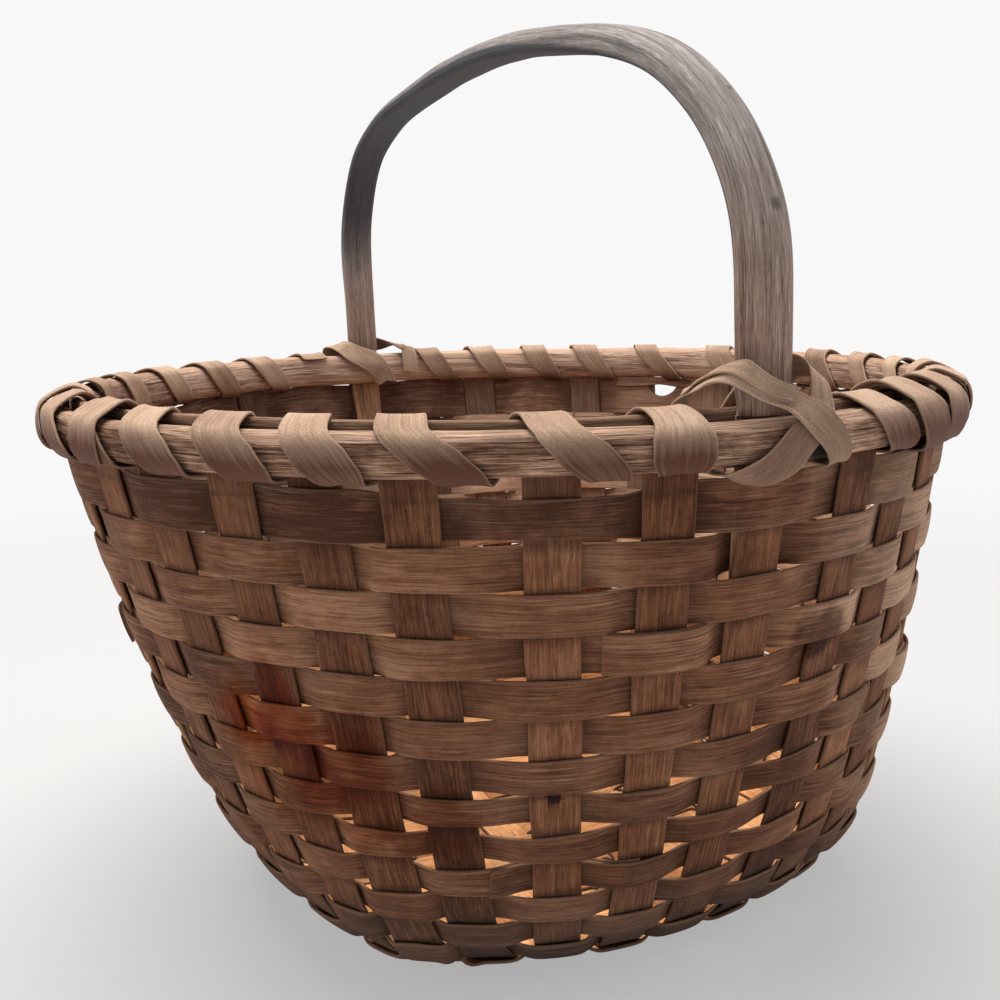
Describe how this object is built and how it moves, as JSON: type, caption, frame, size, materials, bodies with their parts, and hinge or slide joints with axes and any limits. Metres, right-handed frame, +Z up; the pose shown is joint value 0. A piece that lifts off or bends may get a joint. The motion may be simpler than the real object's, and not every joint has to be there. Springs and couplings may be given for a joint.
{
  "type": "foraging basket",
  "caption": "Round open basket woven from flat split-wood splints, with a bound double rim and a fixed bow handle, for gathering mushrooms.",
  "frame": {"origin": "on the floor, under the middle of the bounding box, which is the middle of the rim", "axes": "+Z up; the bow handle arches along X, with its near foot at +X and its far foot at -X; Y runs across the handle"},
  "size_m": [0.3112, 0.3066, 0.2905],
  "materials": {
    "handle": "weathered bare wood",
    "hoop": "rough split bare wood",
    "lashing": "bare splint, dry and papery",
    "upright": "bare splint, aged brown",
    "weaver": "bare splint, aged grey-brown"
  },
  "bodies": {
    "root": {"lengthwise_splint_1": "upright", "lengthwise_splint_2": "upright", "lengthwise_splint_3": "upright", "lengthwise_splint_4": "upright", "lengthwise_splint_5": "upright", "lengthwise_splint_6": "upright", "lengthwise_splint_7": "upright", "lengthwise_splint_8": "upright", "lengthwise_splint_9": "upright", "crosswise_splint_1": "upright", "crosswise_splint_2": "upright", "crosswise_splint_3": "upright", "crosswise_splint_4": "upright", "crosswise_splint_5": "upright", "crosswise_splint_6": "upright", "crosswise_splint_7": "upright", "weaver_row_01": "weaver", "weaver_row_02": "weaver", "weaver_row_03": "weaver", "weaver_row_04": "weaver", "weaver_row_05": "weaver", "weaver_row_06": "weaver", "weaver_row_07": "weaver", "weaver_row_08": "weaver", "weaver_row_09": "weaver", "weaver_row_10": "weaver", "weaver_row_11": "weaver", "weaver_row_12": "weaver", "weaver_row_13": "weaver", "weaver_row_14": "weaver", "weaver_row_15": "weaver", "outer_rim_hoop": "hoop", "inner_rim_hoop": "hoop", "rim_lashing_front": "lashing", "rim_lashing_back": "lashing", "near_foot_lashing_over": "lashing", "near_foot_lashing_under": "lashing", "far_foot_lashing_over": "lashing", "far_foot_lashing_under": "lashing", "handle_bow": "handle"}
  },
  "joints": []
}
